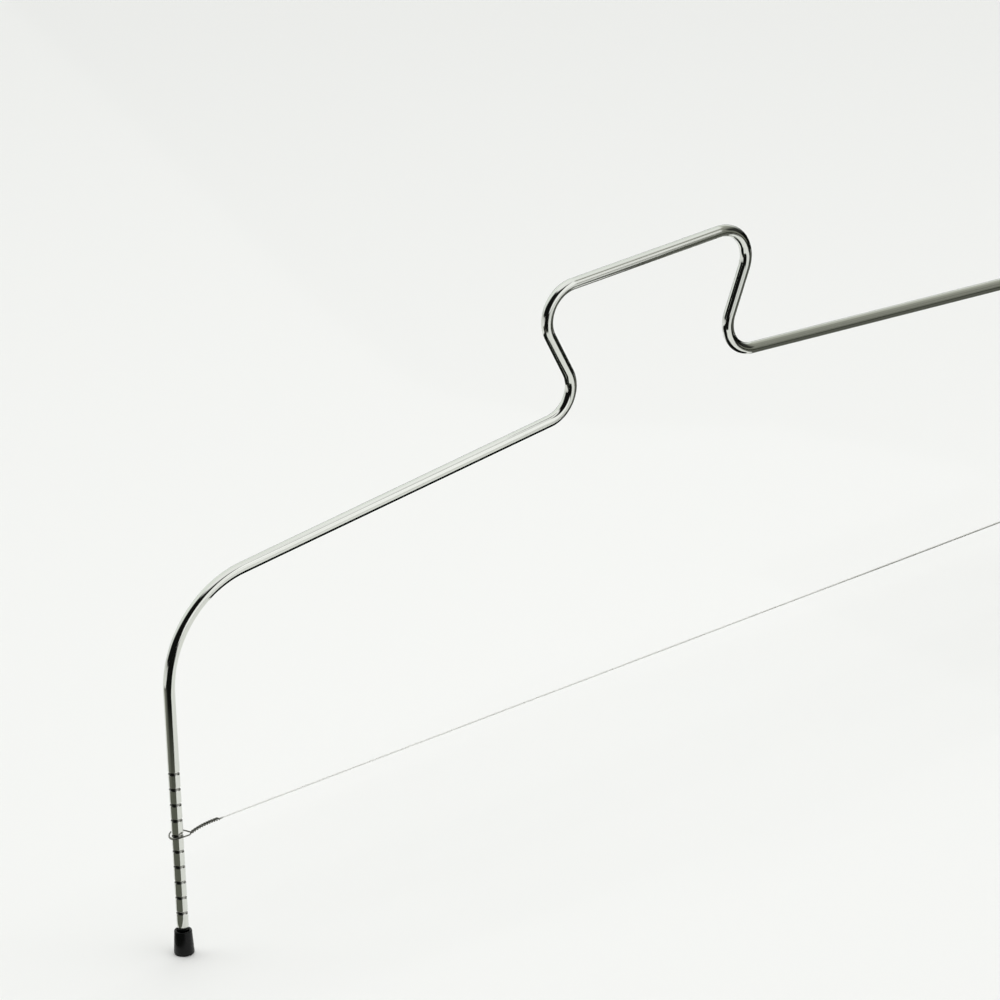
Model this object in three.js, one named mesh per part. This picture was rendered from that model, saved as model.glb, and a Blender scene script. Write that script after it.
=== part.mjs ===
// Wire cutter for slicing flat layers: a rod bow on two capped feet, with one thin wire stretched across it.
// Millimetres, +Z up, +X from the left foot to the right one. The origin lies on the table midway between the feet.
import * as THREE from "three";

// Rod and its bends, along the centreline
const ROD_DIAMETER = 3.5;
const LEG_SPACING = 360;
const SHOULDER_BEND_RADIUS = 31;
const BAR_SLOPE_DEGREES = 5.35;
const WAIST_BEND_RADIUS = 9.5;
const WAIST_CORNER_GAP = 50;
const HANDLE_RISE = 39.5;
const HANDLE_CORNER_GAP = 86;
const HANDLE_BEND_RADIUS = 10;

// Ring notches turned into the legs
const NOTCH_COUNT = 10;
const NOTCH_PITCH = 5;
const NOTCH_MOUTH = 1;
const NOTCH_FLOOR = 0.4;
const NOTCH_DEPTH = 0.4;
const FIRST_NOTCH_ABOVE_CAP = 6;
const PLAIN_LEG_ABOVE_NOTCHES = 25.3;

// Foot caps
const CAP_FLOOR = 2;
const CAP_SLEEVE = 5.2;
const CAP_RIM_WALL = 0.55;
const CAP_FLARE = 0.45;
const CAP_FOOT_ROUND = 0.5;
const CAP_LIP_ROUND = 0.2;
const CAP_CLEARANCE = 0.3;

// Cutting wire, its end eyes and the twists that close them
const WIRE_DIAMETER = 0.5;
const WIRE_AT_NOTCH = 6;
const EYE_SLACK = 2;
const EYE_CLEARANCE = 0.3;
const TWIST_LENGTH = 10.5;
const TWIST_TURNS = 4;
const STRAND_GAP = 0.44;
const TAIL_SHORT = 0.8;
const LEAD_LENGTH = 1.3;

// Smoothness of the round shapes
const ROD_SIDES = 16;
const BEND_STEPS = 12;
const CAP_SIDES = 24;
const ROUND_STEPS = 4;
const WIRE_SIDES = 6;
const EYE_STEPS = 24;
const TURN_STEPS = 10;
const LEAD_STEPS = 5;

// Heights that stack up from the table
const rodRadius = ROD_DIAMETER / 2;
const legX = LEG_SPACING / 2;
const rodEnd = CAP_FLOOR + CAP_CLEARANCE;
const capHeight = rodEnd + CAP_SLEEVE;
const firstNotch = capHeight + FIRST_NOTCH_ABOVE_CAP;
const notchHeights = Array.from({ length: NOTCH_COUNT }, (_, i) => firstNotch + i * NOTCH_PITCH);
const wireHeight = firstNotch + (WIRE_AT_NOTCH - 1) * NOTCH_PITCH;
const legTop = notchHeights[NOTCH_COUNT - 1] + PLAIN_LEG_ABOVE_NOTCHES;
const barSlope = THREE.MathUtils.degToRad(BAR_SLOPE_DEGREES);
const shoulderHeight = legTop + bendReach(SHOULDER_BEND_RADIUS, Math.PI / 2 - barSlope);
const barRun = (LEG_SPACING - WAIST_CORNER_GAP) / 2;
const waistHeight = shoulderHeight + barRun * Math.tan(barSlope);
const handleHeight = waistHeight + HANDLE_RISE;

// A route through chosen stations, close together in the bends and far apart on the straights
class StationPath extends THREE.Curve {
  constructor(stations) {
    super();
    this.stations = stations;
  }

  get steps() {
    return this.stations.length - 1;
  }

  getUtoTmapping(u) {
    return u;
  }

  getPoint(t, target = new THREE.Vector3()) {
    return target.copy(this.stations[Math.round(t * this.steps)]);
  }

  getTangent(t, target = new THREE.Vector3()) {
    const i = Math.round(t * this.steps);
    const here = this.stations[i];
    const before = this.stations[Math.max(i - 1, 0)];
    const after = this.stations[Math.min(i + 1, this.steps)];
    const arriving = here.clone().sub(before).normalize();
    const leaving = after.clone().sub(here).normalize();
    return target.copy(arriving.add(leaving)).normalize();
  }
}

// A round bar of one diameter along a route
function roundBar(stations, diameter, sides) {
  const path = new StationPath(stations);
  const section = new THREE.Shape();
  section.absarc(0, 0, diameter / 2, 0, 2 * Math.PI);
  return new THREE.ExtrudeGeometry(section, {
    steps: path.steps,
    curveSegments: sides / 2,
    extrudePath: path,
  });
}

// How far a bend's round part reaches along each of the two runs that meet at its corner
function bendReach(radius, turn) {
  return radius * Math.tan(turn / 2);
}

// Stations round a bend, from the end of the run that arrives to the start of the run that leaves
function bendStations(before, corner, after, radius) {
  const arriving = corner.clone().sub(before).normalize();
  const leaving = after.clone().sub(corner).normalize();
  const turn = arriving.angleTo(leaving);
  const start = corner.clone().addScaledVector(arriving, -bendReach(radius, turn));
  const inward = leaving.clone().addScaledVector(arriving, -leaving.dot(arriving)).normalize();
  const stations = [];
  for (let i = 0; i <= BEND_STEPS; i += 1) {
    const angle = (turn * i) / BEND_STEPS;
    stations.push(
      start.clone()
        .addScaledVector(arriving, radius * Math.sin(angle))
        .addScaledVector(inward, radius * (1 - Math.cos(angle))),
    );
  }
  return stations;
}

// Stations at the edges of each notch's mouth and floor, from the lowest notch up
function notchStations() {
  const edges = [-NOTCH_MOUTH / 2, -NOTCH_FLOOR / 2, NOTCH_FLOOR / 2, NOTCH_MOUTH / 2];
  return notchHeights.flatMap((height) => edges.map((edge) => new THREE.Vector3(-legX, 0, height + edge)));
}

// Leg, shoulder, bar, waist and handle, and the same mirrored on the other side
function bowStations() {
  const foot = new THREE.Vector3(-legX, 0, rodEnd);
  const shoulder = new THREE.Vector3(-legX, 0, shoulderHeight);
  const waist = new THREE.Vector3(-WAIST_CORNER_GAP / 2, 0, waistHeight);
  const handle = new THREE.Vector3(-HANDLE_CORNER_GAP / 2, 0, handleHeight);
  const middle = new THREE.Vector3(0, 0, handleHeight);
  const leftHalf = [
    foot,
    ...notchStations(),
    ...bendStations(foot, shoulder, waist, SHOULDER_BEND_RADIUS),
    ...bendStations(shoulder, waist, handle, WAIST_BEND_RADIUS),
    ...bendStations(waist, handle, middle, HANDLE_BEND_RADIUS),
  ];
  const rightHalf = leftHalf.map((point) => new THREE.Vector3(-point.x, 0, point.z)).reverse();
  return [...leftHalf, ...rightHalf];
}

// One bent rod, drawn in round its legs at the floor of every notch
function bowFrame() {
  const rod = roundBar(bowStations(), ROD_DIAMETER, ROD_SIDES);
  const position = rod.getAttribute("position");
  const atFloor = (z) => notchHeights.some((height) => Math.abs(z - height) < (NOTCH_FLOOR + NOTCH_MOUTH) / 4);
  const narrowing = (rodRadius - NOTCH_DEPTH) / rodRadius;
  for (let i = 0; i < position.count; i += 1) {
    if (atFloor(position.getZ(i))) {
      const axisX = Math.sign(position.getX(i)) * legX;
      const x = axisX + (position.getX(i) - axisX) * narrowing;
      position.setXY(i, x, position.getY(i) * narrowing);
    }
  }
  rod.computeVertexNormals();
  return rod;
}

// Points of a quarter-round corner of a turned profile
function quarterRound(centreRadius, centreHeight, radius, startAngle) {
  return Array.from({ length: ROUND_STEPS + 1 }, (_, i) => {
    const angle = startAngle + (Math.PI / 2) * (i / ROUND_STEPS);
    return new THREE.Vector2(centreRadius + radius * Math.cos(angle), centreHeight + radius * Math.sin(angle));
  });
}

// A short flared cup with a rounded foot and a rounded lip
function footCap() {
  const bore = rodRadius + CAP_CLEARANCE;
  const rim = bore + CAP_RIM_WALL;
  const foot = rim + CAP_FLARE;
  const profile = [
    new THREE.Vector2(0, 0),
    ...quarterRound(foot - CAP_FOOT_ROUND, CAP_FOOT_ROUND, CAP_FOOT_ROUND, -Math.PI / 2),
    ...quarterRound(rim - CAP_LIP_ROUND, capHeight - CAP_LIP_ROUND, CAP_LIP_ROUND, 0),
    new THREE.Vector2(bore, capHeight),
    new THREE.Vector2(bore, CAP_FLOOR),
    new THREE.Vector2(0, CAP_FLOOR),
  ];
  return new THREE.LatheGeometry(profile, CAP_SIDES).rotateX(Math.PI / 2);
}

// Left end of the wire: cut tail, twist, eye round the leg, twist again, and in to the middle of the twist
function wireEndStations() {
  const eyeRadius = rodRadius + EYE_SLACK / 2 + WIRE_DIAMETER / 2;
  const eyeCentre = -legX + EYE_SLACK / 2 - EYE_CLEARANCE;
  const strandRadius = (WIRE_DIAMETER + STRAND_GAP) / 2;
  const twistRate = (2 * Math.PI * TWIST_TURNS) / TWIST_LENGTH;
  // The strands leave the eye along its tangents, at the slant with which they cross where the twist begins
  const slant = Math.atan(strandRadius * twistRate);
  const crossing = eyeCentre + eyeRadius / Math.sin(slant);
  const strandPoint = (along, radius, startPhase) => {
    const phase = startPhase + twistRate * along;
    return new THREE.Vector3(crossing + along, radius * Math.cos(phase), radius * Math.sin(phase));
  };

  const tail = [];
  const standing = [];
  const twistSteps = Math.round(TWIST_TURNS * TURN_STEPS);
  for (let i = 0; i <= twistSteps; i += 1) {
    const share = i / twistSteps;
    tail.unshift(strandPoint((TWIST_LENGTH - TAIL_SHORT) * share, strandRadius, Math.PI / 2));
    standing.push(strandPoint(TWIST_LENGTH * share, strandRadius, -Math.PI / 2));
  }
  for (let i = 1; i <= LEAD_STEPS; i += 1) {
    const share = i / LEAD_STEPS;
    standing.push(strandPoint(TWIST_LENGTH + LEAD_LENGTH * share, strandRadius * (1 - share), -Math.PI / 2));
  }

  // The eye sinks from the upper strand to the lower one on its way round
  const eye = [];
  const firstAngle = Math.PI / 2 - slant;
  for (let i = 0; i <= EYE_STEPS; i += 1) {
    const share = i / EYE_STEPS;
    const angle = firstAngle + share * 2 * (Math.PI - firstAngle);
    const x = eyeCentre + eyeRadius * Math.cos(angle);
    eye.push(new THREE.Vector3(x, eyeRadius * Math.sin(angle), strandRadius * (1 - 2 * share)));
  }
  return [...tail, ...eye, ...standing];
}

// Least clear space between stretches of the wire that are not next to each other along it
function leastGapToItself(stations) {
  const apart = 4 * WIRE_DIAMETER;
  const travelled = [0];
  for (let i = 1; i < stations.length; i += 1) {
    travelled.push(travelled[i - 1] + stations[i].distanceTo(stations[i - 1]));
  }
  let least = Infinity;
  for (let i = 0; i < stations.length; i += 1) {
    for (let j = i + 1; j < stations.length; j += 1) {
      if (travelled[j] - travelled[i] > apart) {
        least = Math.min(least, stations[i].distanceTo(stations[j]));
      }
    }
  }
  return least - WIRE_DIAMETER;
}

// One wire from eye to eye: the right end is the left end turned half round the middle
function cuttingWire() {
  const leftEnd = wireEndStations();
  const rightEnd = leftEnd.map((point) => new THREE.Vector3(-point.x, -point.y, point.z)).reverse();
  const stations = [...leftEnd, ...rightEnd];
  console.log("cutting_wire: least gap to itself " + leastGapToItself(stations).toFixed(2) + " mm");
  return roundBar(stations, WIRE_DIAMETER, WIRE_SIDES);
}

function part(name, geometry, finish, x, z) {
  const mesh = new THREE.Mesh(geometry, new THREE.MeshStandardMaterial(finish));
  mesh.name = name;
  mesh.position.set(x, 0, z);
  return mesh;
}

const brightPlating = { color: 0xcfd1cb, roughness: 0.12, metalness: 1 };
const drawnSteel = { color: 0x9a9a95, roughness: 0.3, metalness: 1 };
const blackMoulding = { color: 0x17181a, roughness: 0.5, metalness: 0 };

const cutter = new THREE.Group();
cutter.add(
  part("bow_frame", bowFrame(), brightPlating, 0, 0),
  part("left_foot_cap", footCap(), blackMoulding, -legX, 0),
  part("right_foot_cap", footCap(), blackMoulding, legX, 0),
  part("cutting_wire", cuttingWire(), drawnSteel, 0, wireHeight),
);

export default cutter;
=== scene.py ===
import math

import bmesh
import bpy
from mathutils import Matrix, Vector


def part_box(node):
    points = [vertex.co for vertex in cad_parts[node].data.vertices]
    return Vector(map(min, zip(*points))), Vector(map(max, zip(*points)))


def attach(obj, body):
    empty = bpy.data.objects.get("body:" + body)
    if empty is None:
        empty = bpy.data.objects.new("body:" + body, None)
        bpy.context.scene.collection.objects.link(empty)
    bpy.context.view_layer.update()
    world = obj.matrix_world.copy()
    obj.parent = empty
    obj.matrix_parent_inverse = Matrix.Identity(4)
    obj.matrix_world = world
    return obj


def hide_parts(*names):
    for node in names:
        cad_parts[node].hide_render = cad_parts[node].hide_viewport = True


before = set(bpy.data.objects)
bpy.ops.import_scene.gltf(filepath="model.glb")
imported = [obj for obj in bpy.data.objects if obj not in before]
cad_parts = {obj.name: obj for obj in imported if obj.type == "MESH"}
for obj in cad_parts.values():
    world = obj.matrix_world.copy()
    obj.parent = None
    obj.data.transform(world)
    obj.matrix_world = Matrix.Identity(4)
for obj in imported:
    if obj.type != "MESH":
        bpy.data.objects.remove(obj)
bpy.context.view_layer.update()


# Bow frame
# One bright round rod, bent cold in a single upright plane: two legs, two shoulders, two bars that rise to
# the middle, and a raised handle. The ring notches are turned into the legs before the plating. They are
# coloured darker than the plating, as dark residue and as painted shade in the grooves, darkest on the
# outer side of each leg.
bow_low, bow_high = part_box("bow_frame")
ROD_RADIUS = bow_high.y
LEG_X = bow_high.x - ROD_RADIUS
ROD_END = bow_low.z
LEG_TOP = 0.0838
SHOULDER_BEND = 0.031
BAR_SLOPE = math.radians(5.35)
WAIST_BEND = 0.0095
WAIST_GAP = 0.050
HANDLE_RISE = 0.0395
HANDLE_GAP = 0.086
HANDLE_BEND = 0.010
FIRST_NOTCH = 0.0135
NOTCH_PITCH = 0.005
NOTCH_COUNT = 10
NOTCH_MOUTH = 0.001
NOTCH_FLOOR = 0.0004
NOTCH_DEPTH = 0.0004
NOTCH_LIP = 0.00008
ROD_SIDES = 48
BEND_STEPS = 32
RUN_END = 0.0004
SAME_PLACE = 0.00001


class RoundStock:
    """Round bar or wire that grows from its open end. Each point keeps its place on the straight stock."""

    def __init__(self, radius, sides, place):
        self.mesh = bmesh.new()
        self.drawn = self.mesh.verts.layers.float_vector.new("drawn")
        self.necked = self.mesh.verts.layers.float.new("necked")
        self.radius = radius
        self.heading = place.to_3x3() @ Vector((0, 0, 1))
        self.verts = bmesh.ops.create_circle(self.mesh, segments=sides, radius=radius, matrix=place)["verts"]
        self.edges = self.mesh.edges[:]
        for vert in self.verts:
            vert[self.drawn] = place.inverted() @ vert.co
        bmesh.ops.edgeloop_fill(self.mesh, edges=self.edges)

    def middle(self):
        """The centre of the open end."""
        return sum((vert.co for vert in self.verts), Vector()) / len(self.verts)

    def take_end(self, made, length):
        """Makes the rim of the newly made stretch the open end."""
        self.verts = [part for part in made if isinstance(part, bmesh.types.BMVert)]
        self.edges = [part for part in made if isinstance(part, bmesh.types.BMEdge) and part.is_boundary]
        for vert in self.verts:
            vert[self.drawn] = vert[self.drawn] + Vector((0, 0, length))

    def straight(self, length):
        """Draws the stock straight on."""
        self.take_end(bmesh.ops.extrude_edge_only(self.mesh, edges=self.edges)["geom"], length)
        bmesh.ops.translate(self.mesh, verts=self.verts, vec=self.heading * length)

    def neck(self, depth):
        """Turns the open end down by a depth, or back to its full size with none."""
        middle = self.middle()
        for vert in self.verts:
            vert.co = middle + (vert.co - middle).normalized() * (self.radius - depth)
            vert[self.necked] = depth

    def wind(self, centre, axis, angle, steps, climb=0.0):
        """Carries the open end round an axis, and along it by the climb."""
        out = self.middle() - centre
        reach = (out - axis * out.dot(axis)).length
        step = math.hypot(reach * angle, climb) / steps
        for _ in range(steps):
            made = bmesh.ops.spin(
                self.mesh, geom=self.verts + self.edges, cent=centre, axis=axis,
                angle=angle / steps, dvec=axis * climb / steps, steps=1,
            )
            self.take_end(made["geom_last"], step)
        self.heading.rotate(Matrix.Rotation(angle, 3, axis))

    def bend(self, radius, axis, angle, steps):
        """Bends the stock about an axis, so that it turns by the angle at the radius."""
        inward = axis.cross(self.heading) * math.copysign(radius, angle)
        self.wind(self.middle() + inward, axis, angle, steps)


def smooth_object(name, mesh):
    """A smooth-shaded object at the origin, with its faces turned out."""
    bmesh.ops.recalc_face_normals(mesh, faces=mesh.faces[:])
    for face in mesh.faces:
        face.smooth = True
    data = bpy.data.meshes.new(name)
    mesh.to_mesh(data)
    mesh.free()
    made = bpy.data.objects.new(name, data)
    bpy.context.scene.collection.objects.link(made)
    return made


def bend_reach(radius, turn):
    """How far a bend reaches along each of its two runs from their corner."""
    return radius * math.tan(abs(turn) / 2)


rod = RoundStock(ROD_RADIUS, ROD_SIDES, Matrix.Translation((-LEG_X, 0, ROD_END)))
BOW_AXIS = Vector((0, -1, 0))


def rod_run(length):
    """A long straight run with close rings at both ends, so that its reflections stay straight."""
    for stretch in (RUN_END, length - 2 * RUN_END, RUN_END):
        rod.straight(stretch)


notch_slant = (NOTCH_MOUTH - NOTCH_FLOOR) / 2
notch_half = NOTCH_MOUTH / 2 + NOTCH_LIP
for notch in range(NOTCH_COUNT):
    rod.straight(NOTCH_PITCH - 2 * notch_half if notch else FIRST_NOTCH - notch_half - ROD_END)
    rod.straight(NOTCH_LIP)
    rod.straight(notch_slant)
    rod.neck(NOTCH_DEPTH)
    rod.straight(NOTCH_FLOOR)
    rod.straight(notch_slant)
    rod.neck(0)
    rod.straight(NOTCH_LIP)
shoulder_turn = BAR_SLOPE - math.pi / 2
handle_turn = -math.atan2(HANDLE_RISE, (WAIST_GAP - HANDLE_GAP) / 2)
waist_turn = -handle_turn - BAR_SLOPE
bar_length = (LEG_X - WAIST_GAP / 2) / math.cos(BAR_SLOPE)
side_length = math.hypot(HANDLE_RISE, (HANDLE_GAP - WAIST_GAP) / 2)
rod_run(LEG_TOP - FIRST_NOTCH - (NOTCH_COUNT - 1) * NOTCH_PITCH - notch_half)
rod.bend(SHOULDER_BEND, BOW_AXIS, shoulder_turn, BEND_STEPS)
rod_run(bar_length - bend_reach(SHOULDER_BEND, shoulder_turn) - bend_reach(WAIST_BEND, waist_turn))
rod.bend(WAIST_BEND, BOW_AXIS, waist_turn, BEND_STEPS)
rod_run(side_length - bend_reach(WAIST_BEND, waist_turn) - bend_reach(HANDLE_BEND, handle_turn))
rod.bend(HANDLE_BEND, BOW_AXIS, handle_turn, BEND_STEPS)
rod_run(HANDLE_GAP / 2 - bend_reach(HANDLE_BEND, handle_turn))
half_bow = rod.mesh.verts[:] + rod.mesh.edges[:] + rod.mesh.faces[:]
bmesh.ops.mirror(rod.mesh, geom=half_bow, axis="X", merge_dist=SAME_PLACE)
bow = smooth_object("bow_rod", rod.mesh)


def node(tree, kind, inputs=(), **settings):
    """Adds a shader node; an input is given a value, or linked where it is given another node's output."""
    made = tree.nodes.new(kind)
    for name, value in settings.items():
        setattr(made, name, value)
    for name, value in dict(inputs).items():
        if isinstance(value, bpy.types.NodeSocket):
            tree.links.new(value, made.inputs[name])
        else:
            made.inputs[name].default_value = value
    return made


def colour_mix(tree, factor, first, second):
    """A colour between two others."""
    factor_input, first_input, second_input, colour_output = 0, 6, 7, 2
    made = node(
        tree, "ShaderNodeMix", data_type="RGBA",
        inputs={factor_input: factor, first_input: first, second_input: second},
    )
    return made.outputs[colour_output]


def spread(tree, value, low, high, from_low=0.0, from_high=1.0):
    """A value carried from one range to another, and kept within it."""
    made = node(tree, "ShaderNodeMapRange", {
        "Value": value, "From Min": from_low, "From Max": from_high, "To Min": low, "To Max": high,
    })
    return made.outputs["Result"]


CLOUD_RANGE = (0.3, 0.7)


def noise(tree, vector, scale, detail=3.0):
    """Even cloudy noise, most of which lies in the cloud range."""
    made = node(tree, "ShaderNodeTexNoise", {"Vector": vector, "Scale": scale, "Detail": detail})
    return made.outputs["Fac"]


def draw_line_group():
    """Fine lines that a die leaves along drawn metal, from a point's place on the straight stock."""
    group = bpy.data.node_groups.new("draw_lines", "ShaderNodeTree")
    group.interface.new_socket("Drawn", in_out="INPUT", socket_type="NodeSocketVector")
    group.interface.new_socket("Across", in_out="INPUT", socket_type="NodeSocketFloat")
    group.interface.new_socket("Along", in_out="INPUT", socket_type="NodeSocketFloat")
    group.interface.new_socket("Lines", in_out="OUTPUT", socket_type="NodeSocketFloat")
    given = node(group, "NodeGroupInput").outputs
    scales = node(group, "ShaderNodeCombineXYZ", {
        "X": given["Across"], "Y": given["Across"], "Z": given["Along"],
    })
    stretched = node(
        group, "ShaderNodeVectorMath", {0: given["Drawn"], 1: scales.outputs["Vector"]}, operation="MULTIPLY",
    )
    lines = noise(group, stretched.outputs["Vector"], 1.0)
    node(group, "NodeGroupOutput", {"Lines": spread(group, lines, 0.0, 1.0, *CLOUD_RANGE)})
    return group


DRAW_LINES = draw_line_group()


def draw_lines(tree, across, along):
    """The draw lines of a piece of round stock, by how many there are to a metre."""
    place = node(tree, "ShaderNodeAttribute", attribute_name="drawn").outputs["Vector"]
    made = node(tree, "ShaderNodeGroup", node_tree=DRAW_LINES)
    tree.links.new(place, made.inputs["Drawn"])
    made.inputs["Across"].default_value = across
    made.inputs["Along"].default_value = along
    return made.outputs["Lines"]


def from_middle(tree, place):
    """How far a point lies to either side of the cutter's middle."""
    sideways = node(tree, "ShaderNodeSeparateXYZ", {"Vector": place}).outputs["X"]
    return node(tree, "ShaderNodeMath", {0: sideways}, operation="ABSOLUTE").outputs["Value"]


def past_leg(tree, place):
    """How far a point lies outside its leg's middle line."""
    reach = from_middle(tree, place)
    return node(tree, "ShaderNodeMath", {0: reach, 1: LEG_X}, operation="SUBTRACT").outputs["Value"]


def new_finish(name, metallic):
    """A material, its node tree and the inputs of its surface shader."""
    made = bpy.data.materials.new(name)
    made.use_nodes = True
    surface = made.node_tree.nodes["Principled BSDF"]
    surface.inputs["Metallic"].default_value = metallic
    return made, made.node_tree, surface.inputs


PLATING_BRIGHT = (0.76, 0.775, 0.735, 1)
PLATING_DULL = (0.66, 0.675, 0.625, 1)
# Painted shade: the notch colours are darker than the plating, partly for residue and partly for shade in the
# grooves, darkest on the outer side of each leg.
NOTCH_WORN_AND_SHADED = (0.48, 0.485, 0.45, 1)
NOTCH_GRIME_AND_SHADE = (0.06, 0.06, 0.054, 1)
GRIME_AND_SHADE_SIDE = (0.0002, 0.0008)
NOTCH_DULLING = 0.35
ROD_LINES_ACROSS = 2600
ROD_LINES_ALONG = 12
ROD_LINE_DEPTH = 0.0001
ROD_LINE_STRENGTH = 0.04
RUB_MARKS = 90
RUB_MARK_DETAIL = 4
RUB_MARK_RANGE = (0.35, 0.7)
PLATING_ROUGHNESS = (0.05, 0.13)
plating, tree, surface = new_finish("bright_plating", 1.0)
rod_lines = draw_lines(tree, ROD_LINES_ACROSS, ROD_LINES_ALONG)
place = node(tree, "ShaderNodeTexCoord").outputs["Object"]
rub_marks = noise(tree, place, RUB_MARKS, RUB_MARK_DETAIL)
outer_side = spread(tree, past_leg(tree, place), 0.0, 1.0, *GRIME_AND_SHADE_SIDE)
depth = node(tree, "ShaderNodeAttribute", attribute_name="necked").outputs["Fac"]
in_notch = spread(tree, depth, 0.0, 1.0, 0.0, NOTCH_DEPTH / 2)
plated = colour_mix(tree, rod_lines, PLATING_DULL, PLATING_BRIGHT)
# Painted shade and residue: the notches darken, most on the outer side of each leg.
notched = colour_mix(tree, outer_side, NOTCH_WORN_AND_SHADED, NOTCH_GRIME_AND_SHADE)
tree.links.new(colour_mix(tree, in_notch, plated, notched), surface["Base Color"])
polish = spread(tree, rub_marks, *PLATING_ROUGHNESS, *RUB_MARK_RANGE)
dulled = node(tree, "ShaderNodeMath", {0: in_notch, 1: NOTCH_DULLING, 2: polish}, operation="MULTIPLY_ADD")
tree.links.new(dulled.outputs["Value"], surface["Roughness"])
relief = node(tree, "ShaderNodeBump", {
    "Height": rod_lines, "Strength": ROD_LINE_STRENGTH, "Distance": ROD_LINE_DEPTH,
})
tree.links.new(relief.outputs["Normal"], surface["Normal"])
bow.data.materials.append(plating)
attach(bow, "bow")
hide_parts("bow_frame")


# Foot caps
# A short black cap on the end of each leg, moulded in soft plastic with a rounded, slightly wider foot.
# It is pushed on to the bare rod end and holds by its own grip.
cap_low, cap_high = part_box("left_foot_cap")
CAP_FOOT = (cap_high.x - cap_low.x) / 2
CAP_HEIGHT = cap_high.z
CAP_RIM = 0.0026
CAP_FIT = 0.00004
CAP_BORE = ROD_RADIUS + CAP_FIT
CAP_FLOOR = 0.002
CAP_FOOT_ROUND = 0.0006
CAP_FOOT_STEPS = 6
CAP_LIP_ROUND = 0.00025
CAP_LIP_STEPS = 3
CAP_MOUTH_ROUND = 0.0005
CAP_MOUTH_STEPS = 4
CAP_SIDES = 64


def foot_cap(name, leg_x):
    """One cap, turned round its leg."""
    cap = bmesh.new()
    outline = (
        (0, 0), (CAP_FOOT, 0), (CAP_RIM, CAP_HEIGHT),
        (CAP_BORE, CAP_HEIGHT), (CAP_BORE, CAP_FLOOR), (0, CAP_FLOOR),
    )
    corners = [cap.verts.new((leg_x + radius, 0, height)) for radius, height in outline]
    sides = [cap.edges.new(pair) for pair in zip(corners, corners[1:])]
    bmesh.ops.spin(
        cap, geom=corners + sides, cent=(leg_x, 0, 0), axis=(0, 0, 1),
        angle=2 * math.pi, steps=CAP_SIDES, use_merge=True,
    )
    bmesh.ops.remove_doubles(cap, verts=cap.verts[:], dist=SAME_PLACE)

    def ring(radius, height):
        """The edges of the ring that one corner of the outline turned."""
        at = Vector((radius, height))
        places = [Vector((math.hypot(vert.co.x - leg_x, vert.co.y), vert.co.z)) for vert in cap.verts]
        near = {vert for vert, place in zip(cap.verts, places) if (place - at).length < SAME_PLACE}
        return [edge for edge in cap.edges if set(edge.verts) <= near]

    for edges, size, segments in (
        (ring(CAP_FOOT, 0), CAP_FOOT_ROUND, CAP_FOOT_STEPS),
        (ring(CAP_RIM, CAP_HEIGHT), CAP_LIP_ROUND, CAP_LIP_STEPS),
        (ring(CAP_BORE, CAP_HEIGHT), CAP_MOUTH_ROUND, CAP_MOUTH_STEPS),
    ):
        bmesh.ops.bevel(
            cap, geom=edges, offset=size, affect="EDGES", segments=segments, profile=0.5, material=-1,
        )
    return smooth_object(name, cap)


CAP_BLACK = (0.0018, 0.0022, 0.0024, 1)
CAP_SCUFF = (0.016, 0.016, 0.015, 1)
CAP_SPECULAR = 0.22
CAP_ROUGHNESS = (0.24, 0.38)
CAP_CLOUDS = 700
CAP_GRAIN = 3200
CAP_GRAIN_DEPTH = 0.00006
CAP_GRAIN_STRENGTH = 0.25
SCUFF_HEIGHT = 0.0016
moulding, tree, surface = new_finish("black_moulding", 0.0)
surface["Specular IOR Level"].default_value = CAP_SPECULAR
place = node(tree, "ShaderNodeTexCoord").outputs["Object"]
grain = noise(tree, place, CAP_GRAIN)
cloud = noise(tree, place, CAP_CLOUDS)
height = node(tree, "ShaderNodeSeparateXYZ", {"Vector": place}).outputs["Z"]
near_table = spread(tree, height, 1.0, 0.0, 0.0, SCUFF_HEIGHT)
scuffed = node(tree, "ShaderNodeMath", {0: near_table, 1: cloud}, operation="MULTIPLY")
tree.links.new(colour_mix(tree, scuffed.outputs["Value"], CAP_BLACK, CAP_SCUFF), surface["Base Color"])
tree.links.new(spread(tree, cloud, *CAP_ROUGHNESS, *CLOUD_RANGE), surface["Roughness"])
relief = node(tree, "ShaderNodeBump", {
    "Height": grain, "Strength": CAP_GRAIN_STRENGTH, "Distance": CAP_GRAIN_DEPTH,
})
tree.links.new(relief.outputs["Normal"], surface["Normal"])
for side, leg_x in (("left", -LEG_X), ("right", LEG_X)):
    cap = foot_cap(side + "_cap", leg_x)
    cap.data.materials.append(moulding)
    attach(cap, "bow")
    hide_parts(side + "_foot_cap")


# Cutting wire
# One thin hard steel wire from leg to leg. Each end goes once round its leg in an open eye that sits at a
# notch and droops a little, and is then twisted round the wire itself, with its cut tail left showing.
wire_low, wire_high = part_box("cutting_wire")
WIRE_RADIUS = 0.00025
WIRE_HEIGHT = (wire_low.z + wire_high.z) / 2
EYE_RADIUS = (wire_high.y - wire_low.y) / 2 - WIRE_RADIUS
EYE_X = wire_low.x + WIRE_RADIUS + EYE_RADIUS
STRAND_RADIUS = 0.000314
TWIST_LENGTH = 0.0105
TWIST_TURNS = 6
TAIL_SHORT = 0.0008
WIRE_BEND = 0.0006
WIRE_BEND_STEPS = 6
EYE_DROOP = 0.0007
EYE_LEAN = 0.12
WIRE_SIDES = 12
EYE_STEPS = 48
TURN_STEPS = 18
SPIN_AXIS = Vector((1, 0, 0))
UP = Vector((0, 0, 1))
twist_rate = 2 * math.pi * TWIST_TURNS / TWIST_LENGTH
twist_slant = math.atan(STRAND_RADIUS * twist_rate)
crossing = Vector((EYE_X + EYE_RADIUS / math.sin(twist_slant), 0, WIRE_HEIGHT))
tail_length = TWIST_LENGTH - TAIL_SHORT
tail_turn = twist_rate * tail_length
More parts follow.
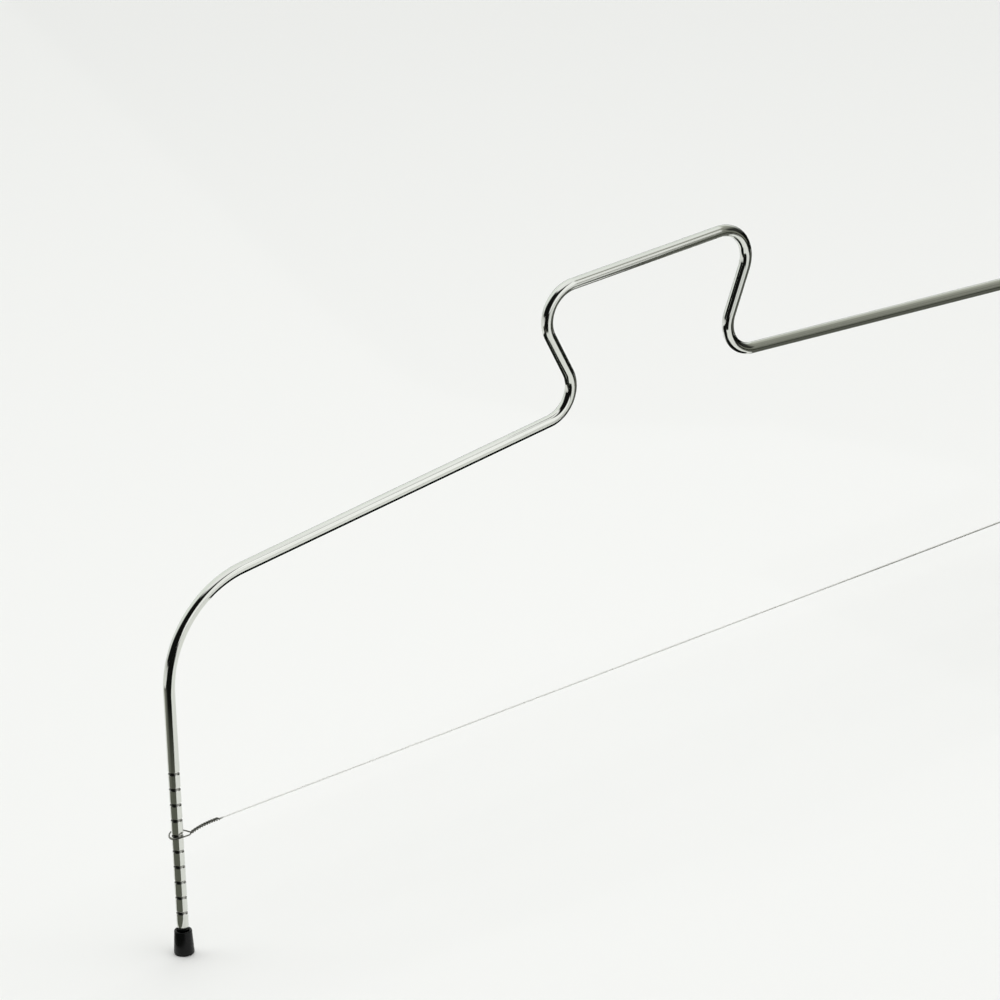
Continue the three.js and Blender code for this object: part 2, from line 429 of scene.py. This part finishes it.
tail_place = (
    Matrix.Translation(crossing + SPIN_AXIS * tail_length)
    @ Matrix.Rotation(tail_turn, 4, SPIN_AXIS)
    @ Matrix.Translation(UP * STRAND_RADIUS)
    @ Vector((-math.cos(twist_slant), math.sin(twist_slant), 0)).to_track_quat("Z", "Y").to_matrix().to_4x4()
)
wire = RoundStock(WIRE_RADIUS, WIRE_SIDES, tail_place)
wire.wind(crossing, SPIN_AXIS, -tail_turn, TWIST_TURNS * TURN_STEPS, -tail_length)
wire.straight(EYE_RADIUS / math.tan(twist_slant))
wire.wind(Vector((EYE_X, 0, 0)), UP, math.pi + 2 * twist_slant, EYE_STEPS, -2 * STRAND_RADIUS)
wire.straight(EYE_RADIUS / math.tan(twist_slant))
wire.wind(crossing, SPIN_AXIS, 2 * math.pi * TWIST_TURNS, TWIST_TURNS * TURN_STEPS, TWIST_LENGTH)
wire.bend(WIRE_BEND, UP, -twist_slant, WIRE_BEND_STEPS)


def eye_rise(place):
    """How far a point of the left end is raised: the eye leans and droops, the twist curves up from it."""
    inward = (min(place.x, crossing.x) - EYE_X) / EYE_RADIUS
    still_off = 1 - min(max((place.x - crossing.x) / TWIST_LENGTH, 0), 1)
    return -(EYE_DROOP * inward ** 2 + EYE_LEAN * place.y) * still_off ** 3


for vert in wire.mesh.verts:
    vert.co.z += eye_rise(vert.co)
left_end = wire.mesh.verts[:] + wire.mesh.edges[:] + wire.mesh.faces[:]
copied = bmesh.ops.duplicate(wire.mesh, geom=left_end)["geom"]
right_verts = [part for part in copied if isinstance(part, bmesh.types.BMVert)]
bmesh.ops.rotate(wire.mesh, verts=right_verts, cent=(0, 0, 0), matrix=Matrix.Rotation(math.pi, 3, "Z"))
open_rims = [edge for edge in wire.mesh.edges if edge.is_boundary]
bmesh.ops.bridge_loops(wire.mesh, edges=open_rims)
cutter = smooth_object("wire_with_eyes", wire.mesh)

WIRE_BRIGHT = (0.97, 0.97, 0.95, 1)
WIRE_DARK = (0.88, 0.88, 0.86, 1)
# Painted shade: the twist is coloured dark grey for the shade between its strands.
TWIST_SHADE = (0.22, 0.22, 0.20, 1)
TWIST_SHADE_FADE = 0.002
TARNISH_CLOUDS = 400
WIRE_ROUGHNESS = (0.22, 0.4)
WIRE_LINES_ACROSS = 9000
WIRE_LINES_ALONG = 40
WIRE_LINE_DEPTH = 0.00005
WIRE_LINE_STRENGTH = 0.1
steel, tree, surface = new_finish("drawn_steel", 1.0)
wire_lines = draw_lines(tree, WIRE_LINES_ACROSS, WIRE_LINES_ALONG)
place = node(tree, "ShaderNodeTexCoord").outputs["Object"]
tarnish = noise(tree, place, TARNISH_CLOUDS)
tone = node(tree, "ShaderNodeMath", {0: wire_lines, 1: tarnish}, operation="MULTIPLY")
drawn_grey = colour_mix(tree, tone.outputs["Value"], WIRE_DARK, WIRE_BRIGHT)
# Painted shade: the colour turns dark grey along the twist, for the shade between its strands.
twist_end = -crossing.x - TWIST_LENGTH
at_twist = spread(tree, from_middle(tree, place), 0.0, 1.0, twist_end - TWIST_SHADE_FADE, twist_end)
tree.links.new(colour_mix(tree, at_twist, drawn_grey, TWIST_SHADE), surface["Base Color"])
tree.links.new(spread(tree, tarnish, *WIRE_ROUGHNESS, *CLOUD_RANGE), surface["Roughness"])
relief = node(tree, "ShaderNodeBump", {
    "Height": wire_lines, "Strength": WIRE_LINE_STRENGTH, "Distance": WIRE_LINE_DEPTH,
})
tree.links.new(relief.outputs["Normal"], surface["Normal"])
cutter.data.materials.append(steel)
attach(cutter, "wire")
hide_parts("cutting_wire")


# Studio floor
# A plain pale sheet of matt paper that the cutter stands on. It reaches far past the picture, because the
# bright metal mirrors it out to its edges.
FLOOR_HALF = 20.0
FLOOR_COLOUR = (0.88, 0.88, 0.87, 1)
PAPER_ROUGHNESS = 0.9
paper = bmesh.new()
bmesh.ops.create_grid(paper, x_segments=1, y_segments=1, size=FLOOR_HALF)
floor = smooth_object("floor", paper)
sweep, tree, surface = new_finish("pale_paper", 0.0)
surface["Base Color"].default_value = FLOOR_COLOUR
surface["Roughness"].default_value = PAPER_ROUGHNESS
floor.data.materials.append(sweep)


# Studio light
# A soft lamp hangs over the cutter. The studio round it is white in front and overhead, pale behind, grey
# to the right and dark to the left. Cards that only mirrors show draw dark lines along the rod, and the one
# that hangs over the wire is white underneath.
LAMP_HEIGHT = 1.5
LAMP_SIDE = 1.2
LAMP_POWER = 12.0
lamp = bpy.data.lights.new("top_lamp", "AREA")
lamp.size = LAMP_SIDE
lamp.energy = LAMP_POWER
lamp_holder = bpy.data.objects.new("top_lamp", lamp)
lamp_holder.location.z = LAMP_HEIGHT
lamp_holder.visible_camera = False
lamp_holder.visible_glossy = False
bpy.context.scene.collection.objects.link(lamp_holder)

SKY_STRENGTH = 1.15
SKY_TOP = (0.92, 0.92, 0.92, 1)
SKY_TOP_EDGE = (0.84, 0.93)
SKY_TOP_LEAN = 0.15
SKY_LEAN_X = -0.61
SKY_LEAN_Y = 0.41
WALL_LEFT = (0.006, 0.0065, 0.006, 1)
WALL_FRONT = (1, 1, 1, 1)
WALL_CORNER = (0.24, 0.245, 0.215, 1)
WALL_RIGHT_LOW = (0.03, 0.031, 0.028, 1)
WALL_RIGHT_HIGH = (0.28, 0.285, 0.25, 1)
WALL_FAR_RIGHT = (0.50, 0.505, 0.46, 1)
WALL_BACK = (0.84, 0.87, 0.84, 1)
LOW_WALLS = (
    (-180, WALL_LEFT), (-126, WALL_LEFT), (-119, WALL_FRONT), (-60, WALL_FRONT), (-57, WALL_CORNER),
    (-51, WALL_CORNER), (-45, WALL_RIGHT_LOW), (8, WALL_RIGHT_LOW), (48, WALL_BACK), (134, WALL_BACK),
    (144, WALL_LEFT), (180, WALL_LEFT),
)
HIGH_WALLS = (
    (-180, WALL_LEFT), (-126, WALL_LEFT), (-119, WALL_FRONT), (-60, WALL_FRONT), (-57, WALL_RIGHT_HIGH),
    (30, WALL_RIGHT_HIGH), (70, WALL_FAR_RIGHT), (80, WALL_BACK), (142, WALL_BACK), (152, WALL_LEFT),
    (180, WALL_LEFT),
)
WALL_JOIN = (0.30, 0.58)
world = bpy.data.worlds.new("studio")
bpy.context.scene.world = world
world.use_nodes = True
tree = world.node_tree
looking = node(tree, "ShaderNodeTexCoord").outputs["Generated"]
towards = node(tree, "ShaderNodeSeparateXYZ", {"Vector": looking}).outputs
leaning = [
    node(tree, "ShaderNodeMath", {0: towards["Z"], 1: lean, 2: towards[axis]}, operation="MULTIPLY_ADD")
    for axis, lean in (("X", SKY_LEAN_X), ("Y", SKY_LEAN_Y))
]
azimuth = node(
    tree, "ShaderNodeMath", operation="ARCTAN2",
    inputs={0: leaning[1].outputs["Value"], 1: leaning[0].outputs["Value"]},
)
turn = spread(tree, azimuth.outputs["Value"], 0.0, 1.0, -math.pi, math.pi)


def walls(places):
    """The walls all round, as colours at their azimuths in degrees."""
    ramp = node(tree, "ShaderNodeValToRGB", {"Fac": turn})
    stops = ramp.color_ramp.elements
    stops.remove(stops[0])
    stops[0].position = 1
    stops[0].color = places[-1][1]
    for degrees, colour in places[:-1]:
        stops.new(degrees / 360 + 0.5).color = colour
    return ramp.outputs["Color"]


up_wall = spread(tree, towards["Z"], 0.0, 1.0, *WALL_JOIN)
higher = node(
    tree, "ShaderNodeMath", operation="MULTIPLY_ADD",
    inputs={0: towards["X"], 1: SKY_TOP_LEAN, 2: towards["Z"]},
)
overhead = spread(tree, higher.outputs["Value"], 0.0, 1.0, *SKY_TOP_EDGE)
all_round = colour_mix(tree, up_wall, walls(LOW_WALLS), walls(HIGH_WALLS))
background = tree.nodes["Background"].inputs
background["Strength"].default_value = SKY_STRENGTH
tree.links.new(colour_mix(tree, overhead, all_round, SKY_TOP), background["Color"])

CARD_LIFT = 0.0005
HANGING_CARD_HEIGHT = 0.1
CARD_GREY = (0.115, 0.12, 0.098, 1)
CARD_DIM = (0.11, 0.113, 0.098, 1)
CARD_MID = (0.20, 0.205, 0.175, 1)
CARD_BLACK = (0.006, 0.0065, 0.0055, 1)
CARD_FADE = (0.10, 0.165)
CARD_RIM = (0.36, 0.365, 0.32, 1)
CARD_RIM_BEARING = (math.radians(20), math.radians(-55))
CARD_RIM_END = (0.20, 0.28)


def matt_card(name):
    """A card finish without shine, its node tree and the inputs of its surface shader."""
    made, tree, surface = new_finish(name, 0.0)
    surface["Roughness"].default_value = PAPER_ROUGHNESS
    surface["Specular IOR Level"].default_value = 0.0
    return made, tree, surface


def plain_card(name, colour):
    """Matt card of one colour."""
    made, _, surface = matt_card(name)
    surface["Base Color"].default_value = colour
    return made


fading_card, tree, surface = matt_card("fading_card")
place = node(tree, "ShaderNodeTexCoord").outputs["Object"]
at = node(tree, "ShaderNodeSeparateXYZ", {"Vector": place}).outputs
outward = past_leg(tree, place)
which_side = node(tree, "ShaderNodeMath", {0: at["X"]}, operation="SIGN").outputs["Value"]
onward = node(tree, "ShaderNodeMath", {0: at["Y"], 1: which_side}, operation="MULTIPLY").outputs["Value"]
beside_leg = node(tree, "ShaderNodeCombineXYZ", {"X": outward, "Y": onward}).outputs["Vector"]
from_leg = node(tree, "ShaderNodeVectorMath", {0: beside_leg}, operation="LENGTH").outputs["Value"]
bearing = node(tree, "ShaderNodeMath", {0: onward, 1: outward}, operation="ARCTAN2").outputs["Value"]
near_rim = spread(tree, bearing, 0.0, 1.0, *CARD_RIM_BEARING)
within_rim = spread(tree, from_leg, 1.0, 0.0, *CARD_RIM_END)
rim = node(tree, "ShaderNodeMath", {0: near_rim, 1: within_rim}, operation="MULTIPLY").outputs["Value"]
far_tone = colour_mix(tree, rim, CARD_BLACK, CARD_RIM)
darkened = spread(tree, from_leg, 0.0, 1.0, *CARD_FADE)
tree.links.new(colour_mix(tree, darkened, CARD_GREY, far_tone), surface["Base Color"])
mid_card = plain_card("mid_card", CARD_MID)
dim_card = plain_card("dim_card", CARD_DIM)
black_card = plain_card("black_card", CARD_BLACK)
white_card = plain_card("white_card", FLOOR_COLOUR)


def show_card(name, card, corners):
    """One sheet of card that only mirrors show."""
    sheet = bmesh.new()
    sheet.faces.new([sheet.verts.new(corner) for corner in corners])
    made = smooth_object(name, sheet)
    made.data.materials.append(card)
    made.visible_camera = False
    made.visible_diffuse = False
    made.visible_shadow = False


HANGING_CARD = (
    (-0.155, -0.013), (-0.012, -0.0234), (0.0, -0.012), (0.045, -0.01), (0.045, 0.03), (0.0, 0.03),
    (-0.015, 0.065), (-0.05, 0.075), (-0.085, 0.05), (-0.10, 0.03), (-0.155, 0.03),
)
LEG_CARD = (
    (0.186, -0.012), (0.33, -0.20), (0.42, -0.06), (0.60, 0.02), (19.5, 2.0), (19.5, 19.5), (5.7, 19.5),
    (0.26, 0.80), (0.13, 0.34), (0.115, 0.27), (0.138, 0.205), (0.178, 0.17), (0.205, 0.10), (0.186, 0.015),
)
for name, card, height, outline in (
    ("far_card", mid_card, CARD_LIFT, ((0.23, -0.30), (13.3, -19.5), (19.5, -17.5), (0.45, -0.29))),
    ("side_card", black_card, 2 * CARD_LIFT, (
        (0.45, -0.29), (19.5, -17.5), (19.5, 2.0), (0.60, 0.02), (0.55, -0.14),
    )),
    ("right_card", fading_card, 3 * CARD_LIFT, LEG_CARD),
    ("left_card", fading_card, 3 * CARD_LIFT, [(-x, -y) for x, y in LEG_CARD]),
    ("near_card", dim_card, 4 * CARD_LIFT, (
        (0.105, -0.185), (0.55, -0.185), (0.36, -0.09), (0.30, 0.09), (0.105, 0.09),
    )),
    ("front_card", black_card, 5 * CARD_LIFT, (
        (0.15, -0.30), (0.45, -0.29), (0.75, -0.16), (0.75, -0.02),
        (0.50, -0.02), (0.36, -0.17), (0.15, -0.19),
    )),
    ("hanging_card", black_card, HANGING_CARD_HEIGHT, HANGING_CARD),
    ("hanging_card_underside", white_card, HANGING_CARD_HEIGHT - CARD_LIFT, HANGING_CARD),
):
    show_card(name, card, [(x, y, height) for x, y in outline])
show_card("shoulder_card", black_card, (
    (-0.49, -0.25, 0), (-0.225, -0.4355, 0), (-0.225, -0.4355, 0.07), (-0.31, -0.376, 0.11),
    (-0.31, -0.376, 0.30), (-0.345, -0.3515, 0.45), (-0.49, -0.25, 0.45),
))


# Camera
# The viewpoint of the reference picture: a long lens in front of the bow, to its left and a little above it.
# The lens is given as its length per width of the picture, and the target is where it points.
CAMERA_AZIMUTH = math.radians(-37.064)
CAMERA_ELEVATION = math.radians(24.876)
CAMERA_ROLL = math.radians(-2.615)
CAMERA_DISTANCE = 3.5119
CAMERA_TARGET = Vector((-0.05758, 0, 0.10607))
LENS_PER_FRAME = 12.0
back = Vector((
    math.sin(CAMERA_AZIMUTH) * math.cos(CAMERA_ELEVATION),
    -math.cos(CAMERA_AZIMUTH) * math.cos(CAMERA_ELEVATION),
    math.sin(CAMERA_ELEVATION),
))
level = Vector((math.cos(CAMERA_AZIMUTH), math.sin(CAMERA_AZIMUTH), 0))
above = back.cross(level)
across = level * math.cos(CAMERA_ROLL) + above * math.sin(CAMERA_ROLL)
upward = above * math.cos(CAMERA_ROLL) - level * math.sin(CAMERA_ROLL)
lens = bpy.data.cameras.new("camera")
lens.lens = lens.sensor_width * LENS_PER_FRAME
camera = bpy.data.objects.new("camera", lens)
turned = Matrix((across, upward, back)).transposed().to_4x4()
camera.matrix_world = Matrix.Translation(CAMERA_TARGET + back * CAMERA_DISTANCE) @ turned
bpy.context.scene.collection.objects.link(camera)
bpy.context.scene.camera = camera
bpy.context.scene.view_settings.view_transform = "Standard"
